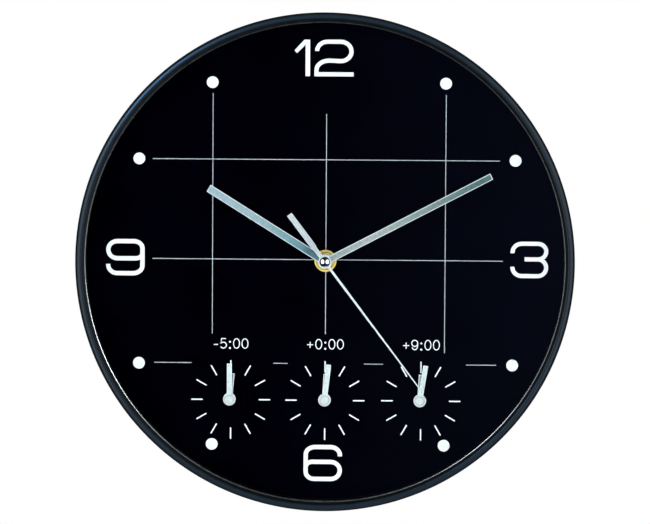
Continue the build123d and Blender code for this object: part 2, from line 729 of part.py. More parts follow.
# Stator: plate with a lobe round the rotor and two arms, and the core bar behind the arms
with BuildPart() as main_stator:
    with BuildSketch(front_plane(main_front + stator_level)):
        with Locations((0, stator_low + STATOR_ARM / 2)):
            Rectangle(2 * STATOR_REACH, STATOR_ARM)
        arm_top = COIL_HEIGHT + CORE_WIDTH / 2
        for side in (-1, 1):
            with Locations((side * (STATOR_REACH - STATOR_ARM / 2), (stator_low + arm_top) / 2)):
                Rectangle(STATOR_ARM, arm_top - stator_low)
        with Locations(rotor_place):
            Circle(ROTOR_RADIUS + STATOR_GAP + STATOR_LOBE)
        with Locations((rotor_place[0], (rotor_place[1] + stator_low) / 2)):
            Rectangle(STATOR_ARM, stator_low - rotor_place[1])
        with Locations(rotor_place):
            Circle(ROTOR_RADIUS + STATOR_GAP, mode=Mode.SUBTRACT)
    extrude(amount=-STATOR_THICKNESS)
    with BuildSketch(front_plane(main_front + core_level, (0, COIL_HEIGHT))):
        Rectangle(2 * STATOR_REACH, CORE_WIDTH)
    extrude(amount=-STATOR_THICKNESS)
save(main_stator.part, "main_stator")

# Coil: bobbin with square flanges and its winding, slid over the core bar
coil_axis = main_front + core_level - STATOR_THICKNESS / 2
coil_start = side_plane(coil_axis, (-COIL_LENGTH / 2, COIL_HEIGHT))
with BuildPart() as main_coil:
    with BuildSketch(coil_start):
        Circle(COIL_RADIUS)
    extrude(amount=COIL_LENGTH)
    for step in (0, COIL_LENGTH - COIL_FLANGE_THICKNESS):
        with BuildSketch(coil_start.offset(step)):
            Rectangle(COIL_FLANGE, COIL_FLANGE)
        extrude(amount=COIL_FLANGE_THICKNESS)
    with BuildSketch(coil_start):
        Rectangle(STATOR_THICKNESS + 2 * CORE_GAP, CORE_WIDTH + 2 * CORE_GAP)
    extrude(amount=COIL_LENGTH, mode=Mode.SUBTRACT)
save(main_coil.part, "main_coil")

# Rotor: magnet, arbor and pinion
rear_pivot = main_front + pivot_end
bridge_front = main_front + bridge_level
centre_front = main_front + centre_level
third_front = main_front + third_level
second_front = main_front + second_level
step_front = main_front + step_level
magnet_front = main_front + rotor_level
with BuildPart() as main_rotor:
    round_bar(rear_pivot, bridge_front, rotor_place, ARBOR_RADIUS)
    round_bar(magnet_front - ROTOR_LENGTH, magnet_front, rotor_place, ROTOR_RADIUS)
    inward = ROTOR_BEARING + 180
    toothed_disc(step_front, rotor_place, ROTOR_PINION_TEETH, rotor_module, inward, WHEEL_THICKNESS)
save(main_rotor.part, "main_rotor")

# Step wheel, driven by the rotor
with BuildPart() as main_step_wheel:
    round_bar(rear_pivot, bridge_front, step_place, ARBOR_RADIUS)
    outward = gap_bearing(ROTOR_BEARING + 180, STEP_WHEEL_TEETH)
    toothed_disc(step_front, step_place, STEP_WHEEL_TEETH, rotor_module, outward, WHEEL_THICKNESS)
    inward = STEP_BEARING + 180
    toothed_disc(second_front, step_place, STEP_PINION_TEETH, step_module, inward, WHEEL_THICKNESS)
save(main_step_wheel.part, "main_step_wheel")

# Second wheel: its arbor runs forward to the second hand
with BuildPart() as main_second_wheel:
    round_bar(rear_pivot, second_top, MAIN, ARBOR_RADIUS)
    outward = gap_bearing(STEP_BEARING + 180, SECOND_WHEEL_TEETH)
    toothed_disc(second_front, MAIN, SECOND_WHEEL_TEETH, step_module, outward, WHEEL_THICKNESS)
    toothed_disc(third_front, MAIN, SECOND_PINION_TEETH, second_module, THIRD_BEARING, WHEEL_THICKNESS)
save(main_second_wheel.part, "main_second_wheel")

# Third wheel, between the second arbor and the centre wheel
with BuildPart() as main_third_wheel:
    round_bar(rear_pivot, centre_front, third_place, ARBOR_RADIUS)
    inward = gap_bearing(THIRD_BEARING, THIRD_WHEEL_TEETH)
    toothed_disc(third_front, third_place, THIRD_WHEEL_TEETH, second_module, inward, WHEEL_THICKNESS)
    inward = THIRD_BEARING + 180
    toothed_disc(centre_front, third_place, THIRD_PINION_TEETH, third_module, inward, WHEEL_THICKNESS)
save(main_third_wheel.part, "main_third_wheel")

# Centre wheel: slips on the minute arbor when the hands are set
with BuildPart() as main_centre_wheel:
    outward = gap_bearing(THIRD_BEARING + 180, CENTRE_WHEEL_TEETH)
    toothed_disc(centre_front, MAIN, CENTRE_WHEEL_TEETH, third_module, outward, WHEEL_THICKNESS)
    clutch_bore = MINUTE_TAIL_RADIUS + RUNNING_GAP
    round_bar(centre_front - WHEEL_THICKNESS, centre_front, MAIN, clutch_bore, Mode.SUBTRACT)
save(main_centre_wheel.part, "main_centre_wheel")

# Motion work of the main hands
second_bore = ARBOR_RADIUS + RUNNING_GAP
save(minute_arbor(MAIN, main_front, bridge_rear, minute_top, second_bore).part, "main_minute_arbor")
save(motion_wheel(MAIN, main_front).part, "main_motion_wheel")
save(hour_wheel(MAIN, main_front, hour_tube_top).part, "main_hour_wheel")
save(set_knob(MAIN, main_front).part, "main_set_knob")
save(battery(MAIN, main_front).part, "main_battery")

# Gasket between the main movement and the back plate
with BuildPart() as movement_gasket:
    round_bar(main_front, plate_rear, MAIN, GASKET_RADIUS)
    round_bar(main_front, plate_rear, MAIN, MAIN_BUSH_RADIUS + BUSH_HOLE_GAP, Mode.SUBTRACT)
save(movement_gasket.part, "movement_gasket")

# Brass washer with a rolled rim
washer_top = dial_front + WASHER_THICKNESS
with BuildPart() as dial_washer:
    round_bar(dial_front, washer_top, MAIN, WASHER_RADIUS - WASHER_ROLL)
    with BuildSketch(section_plane()):
        with Locations((WASHER_RADIUS - WASHER_ROLL, dial_front + WASHER_ROLL)):
            turn = 180 / WASHER_ROLL_SIDES
            RegularPolygon(WASHER_ROLL, WASHER_ROLL_SIDES, major_radius=False, rotation=turn)
    revolve(axis=shaft_axis())
    round_bar(dial_front, washer_top, MAIN, MAIN_BUSH_RADIUS + BUSH_HOLE_GAP, Mode.SUBTRACT)
save(dial_washer.part, "dial_washer")

# Round brass nut with two slots for a wrench
with BuildPart() as dial_nut:
    round_bar(washer_top, nut_top, MAIN, NUT_RADIUS)
    chamfer(dial_nut.faces().sort_by(Axis.Y).first.edges(), NUT_CHAMFER)
    round_bar(washer_top, nut_top, MAIN, MAIN_BUSH_RADIUS + THREAD_GAP, Mode.SUBTRACT)
    with BuildSketch(front_plane(nut_top)):
        Rectangle(2 * NUT_RADIUS, NUT_SLOT)
    extrude(amount=-NUT_SLOT_DEPTH, mode=Mode.SUBTRACT)
save(dial_nut.part, "dial_nut")

# Main hands
hour_bore = hour_tube_radius + PRESS_GAP
hour_collar = hour_low - main_bush_top - HAND_GAP
hour_bar = (HOUR_LENGTH, HOUR_WIDTH)
hour_hand = straight_hand(
    MAIN, hour_low, HOUR_ANGLE, hour_bar, HOUR_HUB_RADIUS, hour_bore, hour_collar
)
save(hour_hand.part, "hour_hand")
minute_bore = MINUTE_ARBOR_RADIUS + PRESS_GAP
minute_bar = (MINUTE_LENGTH, MINUTE_WIDTH)
minute_hand = straight_hand(
    MAIN, minute_low, MINUTE_ANGLE, minute_bar, MINUTE_HUB_RADIUS, minute_bore, HAND_COLLAR
)
save(minute_hand.part, "minute_hand")

# Second hand: tapered needle, hub and counterweight tail
with BuildPart() as second_hand:
    with BuildSketch(hand_plane(second_low, MAIN, SECOND_ANGLE)):
        Circle(SECOND_HUB_RADIUS)
        with BuildLine():
            Polyline(
                (-SECOND_WIDTH / 2, 0),
                (SECOND_WIDTH / 2, 0),
                (SECOND_TIP_WIDTH / 2, SECOND_LENGTH),
                (-SECOND_TIP_WIDTH / 2, SECOND_LENGTH),
                close=True,
            )
        make_face()
        with Locations((0, -SECOND_NECK_LENGTH / 2)):
            Rectangle(SECOND_NECK_WIDTH, SECOND_NECK_LENGTH)
        bar_length = SECOND_TAIL_LENGTH - SECOND_NECK_LENGTH
        with Locations((0, -SECOND_NECK_LENGTH - bar_length / 2)):
            Rectangle(SECOND_TAIL_WIDTH, bar_length)
    extrude(amount=HAND_THICKNESS)
    round_bar(second_low - HAND_COLLAR, second_low, MAIN, ARBOR_RADIUS + COLLAR_WALL)
    round_bar(second_low - HAND_COLLAR, second_top, MAIN, ARBOR_RADIUS + PRESS_GAP, Mode.SUBTRACT)
save(second_hand.part, "second_hand")

# Domed cap over the end of the second arbor
with BuildPart() as second_hand_cap:
    with BuildSketch(section_plane()):
        with BuildLine():
            Line((0, second_top), (CAP_RADIUS, second_top))
            Line((CAP_RADIUS, second_top), (CAP_RADIUS, second_top + CAP_EDGE))
            dome_rise = CAP_HEIGHT - CAP_EDGE
            dome_radius = (CAP_RADIUS**2 + dome_rise**2) / (2 * dome_rise)
            RadiusArc((CAP_RADIUS, second_top + CAP_EDGE), (0, second_top + CAP_HEIGHT), -dome_radius)
            Line((0, second_top + CAP_HEIGHT), (0, second_top))
        make_face()
    revolve(axis=shaft_axis())
save(second_hand_cap.part, "second_hand_cap")

# Zone movements, their motion work and their hands
zone_pivots = [(MAIN, MINUTE_TAIL_RADIUS), (motion_place, MOTION_ARBOR_RADIUS)]
for zone, place in ZONES.items():
    name = f"zone_{zone}"
    with BuildPart() as zone_base:
        add(movement_base(place, zone_front, ZONE_BUSH_RADIUS, zone_bush_top, []).part)
        for middle in ear_middles:
            with BuildSketch(front_plane(zone_front, shifted(place, (0, middle)))) as ear:
                Rectangle(EAR_WIDTH, EAR_REACH)
                Circle(ear_pilot, mode=Mode.SUBTRACT)
            extrude(ear.sketch, amount=-EAR_THICKNESS)
    save(zone_base.part, f"{name}_movement_base")
    save(movement_cover(place, zone_front, zone_pivots).part, f"{name}_movement_cover")
    save(battery(place, zone_front).part, f"{name}_battery")
    save(set_knob(place, zone_front).part, f"{name}_set_knob")
    save(motion_wheel(place, zone_front).part, f"{name}_motion_wheel")
    arbor_top = zone_minute_low + HAND_THICKNESS / 2
    save(minute_arbor(place, zone_front, pivot_end, arbor_top, 0).part, f"{name}_minute_arbor")
    save(hour_wheel(place, zone_front, zone_tube_top).part, f"{name}_hour_wheel")
    angle = ZONE_HOUR_ANGLES[zone]
    bar = (ZONE_HOUR_LENGTH, ZONE_HOUR_WIDTH)
    zone_hour_hand = straight_hand(
        place, zone_hour_low, angle, bar, ZONE_HUB_RADIUS, hour_bore, ZONE_HOUR_COLLAR
    )
    save(zone_hour_hand.part, f"{name}_hour_hand")
    with BuildPart() as zone_minute_hand:
        with BuildSketch(hand_plane(zone_minute_low, place, ZONE_MINUTE_ANGLES[zone])):
            Circle(ZONE_HUB_RADIUS)
            with Locations((0, ZONE_MINUTE_LENGTH / 2)):
                Rectangle(ZONE_MINUTE_WIDTH, ZONE_MINUTE_LENGTH)
        extrude(amount=HAND_THICKNESS)
        collar_low = zone_minute_low - HAND_COLLAR
        round_bar(collar_low, zone_minute_low, place, minute_bore + COLLAR_WALL)
        round_bar(zone_minute_low, zone_cap_top, place, ZONE_CAP_RADIUS)
        chamfer(zone_minute_hand.faces().sort_by(Axis.Y).first.edges(), ZONE_CAP_CHAMFER)
        round_bar(collar_low, arbor_top + PRESS_GAP, place, minute_bore, Mode.SUBTRACT)
    save(zone_minute_hand.part, f"{name}_minute_hand")

# Battery contacts: bowed strips at both ends of each bay
contact_fronts = [(MAIN, main_front)] + [(place, zone_front) for place in ZONES.values()]
with BuildPart() as battery_contacts:
    for place, front in contact_fronts:
        for side in (-1, 1):
            end = bay_length / 2 - CONTACT_THICKNESS / 2
            reach = end - CONTACT_ROOM + CONTACT_THICKNESS
            low = front - BAY_FLOOR - bay_width / 2 - CONTACT_WIDTH / 2
            with BuildSketch(front_plane(low, shifted(place, (0, bay_middle)))) as strip:
                with BuildLine():
                    ThreePointArc(
                        (side * end, -CONTACT_SPAN / 2), (side * reach, 0), (side * end, CONTACT_SPAN / 2)
                    )
                trace(line_width=CONTACT_THICKNESS)
            extrude(strip.sketch, amount=CONTACT_WIDTH)
save(battery_contacts.part, "battery_contacts")
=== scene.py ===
import json
from math import acos, asin, cos, hypot, pi, radians, sin

import bmesh
import bpy
from mathutils import Matrix, Vector
from mathutils.geometry import delaunay_2d_cdt


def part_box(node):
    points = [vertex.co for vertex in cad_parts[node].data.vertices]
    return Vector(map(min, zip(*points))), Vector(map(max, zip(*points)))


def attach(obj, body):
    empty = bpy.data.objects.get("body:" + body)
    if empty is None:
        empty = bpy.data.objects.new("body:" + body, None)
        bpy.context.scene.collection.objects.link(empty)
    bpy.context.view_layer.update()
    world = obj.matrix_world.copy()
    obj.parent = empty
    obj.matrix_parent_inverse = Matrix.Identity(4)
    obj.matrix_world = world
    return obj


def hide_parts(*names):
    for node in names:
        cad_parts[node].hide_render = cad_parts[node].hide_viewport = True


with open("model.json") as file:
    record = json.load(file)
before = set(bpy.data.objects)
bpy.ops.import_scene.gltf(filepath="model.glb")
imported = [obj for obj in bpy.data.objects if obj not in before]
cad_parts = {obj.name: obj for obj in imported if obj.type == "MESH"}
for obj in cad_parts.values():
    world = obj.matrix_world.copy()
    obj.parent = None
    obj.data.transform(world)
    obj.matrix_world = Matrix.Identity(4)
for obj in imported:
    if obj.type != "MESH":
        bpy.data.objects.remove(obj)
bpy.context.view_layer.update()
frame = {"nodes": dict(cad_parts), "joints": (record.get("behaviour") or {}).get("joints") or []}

# Named lengths are in millimetres, places from the frame in metres

MM = 0.001
ZONES = ("left", "middle", "right")
nodes = frame["nodes"]
joint_places = {joint["name"]: Vector(joint["pos_m"]) for joint in frame["joints"]}
shaft = joint_places["second_hand_turn"]
dial_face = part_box("dial")[0].y
bezel_low, bezel_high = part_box("bezel_ring")
reaches = [bezel_high.x - shaft.x, shaft.x - bezel_low.x]
reaches += [bezel_high.z - shaft.z, shaft.z - bezel_low.z]
bezel_outer = min(reaches) / MM
bezel_front = -bezel_low.y / MM

# Node helpers

GRAIN_DETAIL, GRAIN_ROUGHNESS = 4.0, 0.55
NOISE_LOW, NOISE_HIGH = 0.3, 0.7


def add_node(tree, kind, **values):
    node = tree.nodes.new(kind)
    for name, value in values.items():
        setattr(node, name, value)
    return node


def new_tree(name):
    material = bpy.data.materials.new(name)
    material.use_nodes = True
    tree = material.node_tree
    tree.nodes.clear()
    output = tree.nodes.new("ShaderNodeOutputMaterial")
    shader = tree.nodes.new("ShaderNodeBsdfPrincipled")
    tree.links.new(shader.outputs["BSDF"], output.inputs["Surface"])
    return material, tree, shader, output


def set_shader(shader, **values):
    for name, value in values.items():
        shader.inputs[name.replace("_", " ")].default_value = value


def noise(tree, vector, scale, detail):
    node = tree.nodes.new("ShaderNodeTexNoise")
    node.inputs["Scale"].default_value = scale
    node.inputs["Detail"].default_value = detail
    tree.links.new(vector, node.inputs["Vector"])
    return node


def grain(tree, size):
    sides = size if isinstance(size, tuple) else (size, size, size)
    place = tree.nodes.new("ShaderNodeTexCoord")
    mapping = add_node(tree, "ShaderNodeMapping", vector_type="TEXTURE")
    mapping.inputs["Scale"].default_value = tuple(length * MM for length in sides)
    tree.links.new(place.outputs["Object"], mapping.inputs["Vector"])
    node = noise(tree, mapping.outputs["Vector"], 1.0, GRAIN_DETAIL)
    node.inputs["Roughness"].default_value = GRAIN_ROUGHNESS
    return node.outputs["Fac"]


def ramp(tree, source, stops, interpolation="LINEAR"):
    node = tree.nodes.new("ShaderNodeValToRGB")
    node.color_ramp.interpolation = interpolation
    elements = node.color_ramp.elements
    while len(elements) < len(stops):
        elements.new(0.5)
    for element, (position, colour) in zip(elements, stops):
        element.position = position
        element.color = (*colour, 1.0)
    tree.links.new(source, node.inputs["Fac"])
    return node.outputs["Color"]


def clouded(tree, cloud, dark, light):
    return ramp(tree, cloud, [(NOISE_LOW, dark), (NOISE_HIGH, light)])


def spread(tree, source, low, high, start=NOISE_LOW, end=NOISE_HIGH):
    node = tree.nodes.new("ShaderNodeMapRange")
    node.inputs["From Min"].default_value = start
    node.inputs["From Max"].default_value = end
    node.inputs["To Min"].default_value = low
    node.inputs["To Max"].default_value = high
    tree.links.new(source, node.inputs["Value"])
    return node.outputs["Result"]


def multiplied(tree, base, tone, share):
    node = add_node(tree, "ShaderNodeMix", data_type="RGBA", blend_type="MULTIPLY")
    node.inputs[0].default_value = share
    tree.links.new(base, node.inputs[6])
    tree.links.new(tone, node.inputs[7])
    return node.outputs[2]


def bumped(tree, shader, height, depth):
    bump = tree.nodes.new("ShaderNodeBump")
    bump.inputs["Strength"].default_value = 1.0
    bump.inputs["Distance"].default_value = depth * MM
    tree.links.new(height, bump.inputs["Height"])
    tree.links.new(bump.outputs["Normal"], shader.inputs["Normal"])


def grey(level):
    return (level, level, level)


def along_piece(tree):
    place = tree.nodes.new("ShaderNodeTexCoord")
    split = tree.nodes.new("ShaderNodeSeparateXYZ")
    tree.links.new(place.outputs["Generated"], split.inputs["Vector"])
    return split.outputs["X"]


def from_shaft(tree):
    place = tree.nodes.new("ShaderNodeTexCoord")
    shift = add_node(tree, "ShaderNodeVectorMath", operation="SUBTRACT")
    shift.inputs[1].default_value = shaft
    flat = add_node(tree, "ShaderNodeVectorMath", operation="MULTIPLY")
    flat.inputs[1].default_value = (1.0, 0.0, 1.0)
    length = add_node(tree, "ShaderNodeVectorMath", operation="LENGTH")
    tree.links.new(place.outputs["Object"], shift.inputs[0])
    tree.links.new(shift.outputs["Vector"], flat.inputs[0])
    tree.links.new(flat.outputs["Vector"], length.inputs[0])
    return length.outputs["Value"]


# Finishes

RING_SCALE, RING_DETAIL, RING_DEPTH = 6000.0, 3.0, 0.02
BRUSH_SCALE, BRUSH_DETAIL, BRUSH_DEPTH = (6.0, 0.04, 1.0), 3.0, 0.006
SPECKLE_SCALE, SPECKLE_DETAIL, SPECKLE_SHARE = 0.8, 2.0, 0.8
BAND_WIDTH, CLOUD_SIZE, CLOUD_SHARE = 5.0, 9.0, 0.35
WIRE_SCALE = 900.0


def finish(name, dark, light, rough, size, metallic=0.0, specular=0.5, bump=0.0, fine=None):
    material, tree, shader, _ = new_tree(name)
    set_shader(shader, Metallic=metallic, Specular_IOR_Level=specular)
    cloud = grain(tree, size)
    tree.links.new(clouded(tree, cloud, dark, light), shader.inputs["Base Color"])
    tree.links.new(spread(tree, cloud, *rough), shader.inputs["Roughness"])
    if bump:
        bumped(tree, shader, grain(tree, fine or size), bump)
    return material


def turned_brass(name, dark, light):
    material, tree, shader, _ = new_tree(name)
    set_shader(shader, Metallic=0.45)
    rings = add_node(tree, "ShaderNodeTexNoise", noise_dimensions="1D")
    rings.inputs["Scale"].default_value = RING_SCALE
    rings.inputs["Detail"].default_value = RING_DETAIL
    tree.links.new(from_shaft(tree), rings.inputs["W"])
    stain = grain(tree, 2.5)
    tree.links.new(clouded(tree, stain, dark, light), shader.inputs["Base Color"])
    tree.links.new(spread(tree, rings.outputs["Fac"], 0.32, 0.48), shader.inputs["Roughness"])
    bumped(tree, shader, rings.outputs["Fac"], RING_DEPTH)
    return material


def brushed_hand(name, dark, light, rough, painted_shade=None):
    material, tree, shader, _ = new_tree(name)
    set_shader(shader, Metallic=0.85, Anisotropic=0.75)
    place = tree.nodes.new("ShaderNodeUVMap")
    mapping = tree.nodes.new("ShaderNodeMapping")
    mapping.inputs["Scale"].default_value = BRUSH_SCALE
    tree.links.new(place.outputs["UV"], mapping.inputs["Vector"])
    lines = noise(tree, mapping.outputs["Vector"], 1.0, BRUSH_DETAIL).outputs["Fac"]
    speckle = noise(tree, place.outputs["UV"], SPECKLE_SCALE, SPECKLE_DETAIL)
    mixed = add_node(tree, "ShaderNodeMix", data_type="FLOAT")
    mixed.inputs[0].default_value = SPECKLE_SHARE
    tree.links.new(lines, mixed.inputs[2])
    tree.links.new(speckle.outputs["Fac"], mixed.inputs[3])
    across = add_node(tree, "ShaderNodeTangent", direction_type="UV_MAP")
    tree.links.new(across.outputs["Tangent"], shader.inputs["Tangent"])
    colour = ramp(tree, mixed.outputs[0], [(0.32, dark), (0.68, light)])
    # Painted shade: an optional tone ramp along the hand, multiplied into its colour
    if painted_shade:
        start, end = painted_shade[0][0], painted_shade[-1][0]
        stops = [((at - start) / (end - start), tone) for at, tone in painted_shade]
        split = tree.nodes.new("ShaderNodeSeparateXYZ")
        tree.links.new(place.outputs["UV"], split.inputs["Vector"])
        reach = spread(tree, split.outputs["Y"], 0.0, 1.0, start, end)
        colour = multiplied(tree, colour, ramp(tree, reach, stops), 1.0)
    tree.links.new(colour, shader.inputs["Base Color"])
    tree.links.new(spread(tree, lines, *rough), shader.inputs["Roughness"])
    bumped(tree, shader, lines, BRUSH_DEPTH)
    return material


def bezel_lacquer_painted_sheen(name, outer):
    material, tree, shader, _ = new_tree(name)
    set_shader(shader, Specular_IOR_Level=0.15)
    # Painted reflection: black lacquer at the band's outer and inner edges, with a slate painted
    # sheen across its middle
    band = spread(tree, from_shaft(tree), 0.0, 1.0, (outer - BAND_WIDTH) * MM, outer * MM)
    black = (0.0025, 0.003, 0.0035)
    half_painted_sheen = (0.007, 0.012, 0.017)
    painted_sheen = (0.015, 0.026, 0.038)
    stops = [(0.18, black), (0.26, half_painted_sheen), (0.42, painted_sheen), (0.74, painted_sheen), (0.82, half_painted_sheen), (0.89, black)]
    lacquer_and_painted_sheen = ramp(tree, band, stops)
    cloud = grain(tree, CLOUD_SIZE)
    tone = clouded(tree, cloud, grey(0.75), grey(1.0))
    colour = multiplied(tree, lacquer_and_painted_sheen, tone, CLOUD_SHARE)
    tree.links.new(colour, shader.inputs["Base Color"])
    tree.links.new(spread(tree, cloud, 0.2, 0.28), shader.inputs["Roughness"])
    bumped(tree, shader, grain(tree, 0.5), 0.002)
    return material


def clear_glass(name):
    material, tree, shader, output = new_tree(name)
    set_shader(shader, Base_Color=(0.985, 0.995, 0.99, 1.0), Transmission_Weight=1.0)
    set_shader(shader, IOR=1.45, Specular_IOR_Level=0.5)
    film = grain(tree, 60.0)
    tree.links.new(spread(tree, film, 0.0, 0.012), shader.inputs["Roughness"])
    path = tree.nodes.new("ShaderNodeLightPath")
    clear = tree.nodes.new("ShaderNodeBsdfTransparent")
    choice = tree.nodes.new("ShaderNodeMixShader")
    tree.links.new(path.outputs["Is Shadow Ray"], choice.inputs["Fac"])
    tree.links.new(shader.outputs["BSDF"], choice.inputs[1])
    tree.links.new(clear.outputs["BSDF"], choice.inputs[2])
    tree.links.new(choice.outputs["Shader"], output.inputs["Surface"])
    return material


def battery_sleeve(name):
    material, tree, shader, _ = new_tree(name)
    set_shader(shader, Specular_IOR_Level=0.5)
    along = along_piece(tree)
    foot, band, cap = 0.018, 0.70, 0.955
    can, sleeve, copper = (0.55, 0.55, 0.53), (0.015, 0.016, 0.02), (0.62, 0.33, 0.10)
    paint = [(0.0, can), (foot, sleeve), (band, copper), (cap, can)]
    metal = [(0.0, grey(1.0)), (foot, grey(0.0)), (band, grey(0.55)), (cap, grey(1.0))]
    tree.links.new(ramp(tree, along, paint, "CONSTANT"), shader.inputs["Base Color"])
    tree.links.new(ramp(tree, along, metal, "CONSTANT"), shader.inputs["Metallic"])
    tree.links.new(spread(tree, grain(tree, 8.0), 0.24, 0.36), shader.inputs["Roughness"])
    bumped(tree, shader, grain(tree, 5.0), 0.02)
    return material


def wound_copper(name):
    material, tree, shader, _ = new_tree(name)
    along = along_piece(tree)
    first, last = 0.17, 0.83
    bobbin, wire = (0.03, 0.03, 0.03), (0.45, 0.14, 0.05)
    paint = [(0.0, bobbin), (first, wire), (last, bobbin)]
    metal = [(0.0, grey(0.0)), (first, grey(0.9)), (last, grey(0.0))]
    turns = tree.nodes.new("ShaderNodeTexWave")
    turns.inputs["Scale"].default_value = WIRE_SCALE
    place = tree.nodes.new("ShaderNodeTexCoord")
    tree.links.new(place.outputs["Object"], turns.inputs["Vector"])
    tree.links.new(ramp(tree, along, paint, "CONSTANT"), shader.inputs["Base Color"])
    tree.links.new(ramp(tree, along, metal, "CONSTANT"), shader.inputs["Metallic"])
    tree.links.new(spread(tree, grain(tree, 1.0), 0.3, 0.45), shader.inputs["Roughness"])
    bumped(tree, shader, turns.outputs["Fac"], 0.05)
    return material


def pale_metal(name, dark, light):
    return finish(name, dark, light, (0.30, 0.40), 1.5, metallic=0.1, bump=0.003, fine=0.2)


def moulding(name, dark, light, rough):
    return finish(name, dark, light, rough, 5.0, specular=0.45, bump=0.02, fine=0.25)


def ink(name, dark, light):
    return finish(name, dark, light, (0.5, 0.62), 2.0, specular=0.2, bump=0.008, fine=0.15)


finishes = {
    "case_gloss": bezel_lacquer_painted_sheen("bezel_lacquer_painted_sheen", bezel_outer),
    "case_matt": finish(
        "moulded_matt_black", (0.012, 0.013, 0.014), (0.022, 0.023, 0.025), (0.52, 0.66), 6.0,
        specular=0.4, bump=0.03, fine=0.4,
    ),
    "clear_glass": clear_glass("front_pane"),
    "dial_paint": finish(
        "dial_lacquer", (0.0001, 0.0001, 0.0008), (0.0003, 0.0004, 0.0020), (0.6, 0.75), 30.0,
        specular=0.0, bump=0.004, fine=0.2,
    ),
    "steel": finish(
        "zinc_plated_steel", (0.42, 0.43, 0.44), (0.62, 0.63, 0.63), (0.28, 0.44), 3.0,
        metallic=1.0, bump=0.01, fine=0.3,
    ),
    "spring_steel": finish(
        "nickel_spring_steel", (0.5, 0.49, 0.46), (0.68, 0.67, 0.63), (0.2, 0.32), (0.3, 0.3, 6.0),
        metallic=1.0, bump=0.006,
    ),
    "brass": turned_brass("turned_brass", (0.78, 0.60, 0.20), (0.92, 0.77, 0.36)),
    "rubber": finish(
        "gasket_rubber", grey(0.008), grey(0.016), (0.75, 0.9), 3.0,
        specular=0.25, bump=0.03, fine=0.3,
    ),
    "cap_chrome": finish(
        "polished_chrome", (0.80, 0.81, 0.82), (0.88, 0.89, 0.90), (0.05, 0.09), 2.0, metallic=1.0,
    ),
    "magnet": finish(
        "ferrite_magnet", (0.06, 0.06, 0.065), (0.11, 0.11, 0.115), (0.45, 0.6), 0.8,
        metallic=0.4, bump=0.01,
    ),
    "coil_copper": wound_copper("wound_copper"),
    "board": finish(
        "circuit_board_green", (0.006, 0.05, 0.02), (0.012, 0.09, 0.035), (0.3, 0.45),
        (1.2, 1.2, 0.4), bump=0.02,
    ),
    "movement_black": moulding(
        "movement_moulding_black", (0.010, 0.010, 0.011), (0.018, 0.018, 0.020), (0.42, 0.56),
    ),
    "movement_grey": moulding(
        "movement_moulding_grey", (0.035, 0.037, 0.040), (0.052, 0.054, 0.058), (0.40, 0.54),
    ),
    "gear_plastic": finish(
        "acetal_gear_white", (0.66, 0.64, 0.58), (0.76, 0.74, 0.69), (0.35, 0.5), 1.5,
        specular=0.45, bump=0.01,
    ),
    "battery_can": battery_sleeve("battery_sleeve"),
}
spacer_dark = finish(
    "spacer_dark", (0.0010, 0.0010, 0.0014), (0.0022, 0.0022, 0.0030), (0.6, 0.75), 6.0,
    specular=0.05, bump=0.02, fine=0.4,
)
for node in nodes.values():
    slot = node.data.materials[0].name
    if slot != "hand_metal":
        node.material_slots[0].material = finishes[slot]
nodes["spacer_ring"].material_slots[0].material = spacer_dark

# Mesh helper


def placed(name, shape, *materials):
    mesh = bpy.data.meshes.new(name)
    shape.to_mesh(mesh)
    shape.free()
    for material in materials:
        mesh.materials.append(material)
    piece = bpy.data.objects.new(name, mesh)
    bpy.context.scene.collection.objects.link(piece)
    return piece


# Hands: the stamped plates with a chamfer round their front faces, the chamfer's near-white colour
# a painted highlight

EDGE_WIDTH, EDGE_DEPTH = 0.42, 0.22
FINE_WIDTH, FINE_DEPTH = 0.36, 0.12
ZONE_CAP, HUB_REACH = 1.0, 3.9
TAPER_START, TIP_SHARE = 8.0, 0.62
FACE, EDGE, HUB = 0, 1, 2
WELD_M, FLAT_ANGLE = 1e-6, radians(1.0)

# Forward parts of the normals of a flat front, of a front at its rim and of a side wall
FLAT_LEAN, RIM_LEAN, WALL_LEAN = -0.98, -0.99, 0.1

# Angles in degrees, clockwise from twelve
HAND_ANGLES = {
    "hour_hand": 301.9,
    "minute_hand": 62.4,
    "second_hand": 142.9,
    "zone_left_hour_hand": 5.5,
    "zone_middle_hour_hand": 3.3,
    "zone_right_hour_hand": 3.4,
    "zone_left_minute_hand": 0.0,
    "zone_middle_minute_hand": 6.5,
    "zone_right_minute_hand": 9.3,
}
HAND_BODIES = {
    "hour_hand": "main_hours",
    "minute_hand": "main_minutes",
    "second_hand": "main_seconds",
}
for zone in ZONES:
    HAND_BODIES[f"zone_{zone}_hour_hand"] = f"zone_{zone}_hours"
    HAND_BODIES[f"zone_{zone}_minute_hand"] = f"zone_{zone}_minutes"

# Painted shade along a hand, each tone with its distance from the hand's axis of turning
# Painted shadow of the second hand's tail on the hour hand, darkest about 12 mm from the hub
HOUR_PAINTED_SHADOW = [
    (7.0, (0.36, 0.50, 0.53)),
    (12.0, (0.24, 0.37, 0.40)),
    (17.0, (0.46, 0.65, 0.68)),
    (24.0, (0.59, 0.79, 0.82)),
    (52.0, grey(1.0)),
]
# Painted shade on the minute hand, darker near the hub and much darker towards its tip
MINUTE_PAINTED_SHADE = [(6.0, (0.66, 0.71, 0.78)), (30.0, grey(1.0)), (105.0, (0.23, 0.37, 0.40))]
# Painted shade on the second hand's tail, darkest near the hub, with the thin pointer left at full
# brightness
SECOND_PAINTED_SHADE = [(-36.0, (0.72, 0.74, 0.75)), (-10.0, (0.59, 0.61, 0.615)), (8.0, grey(1.0))]
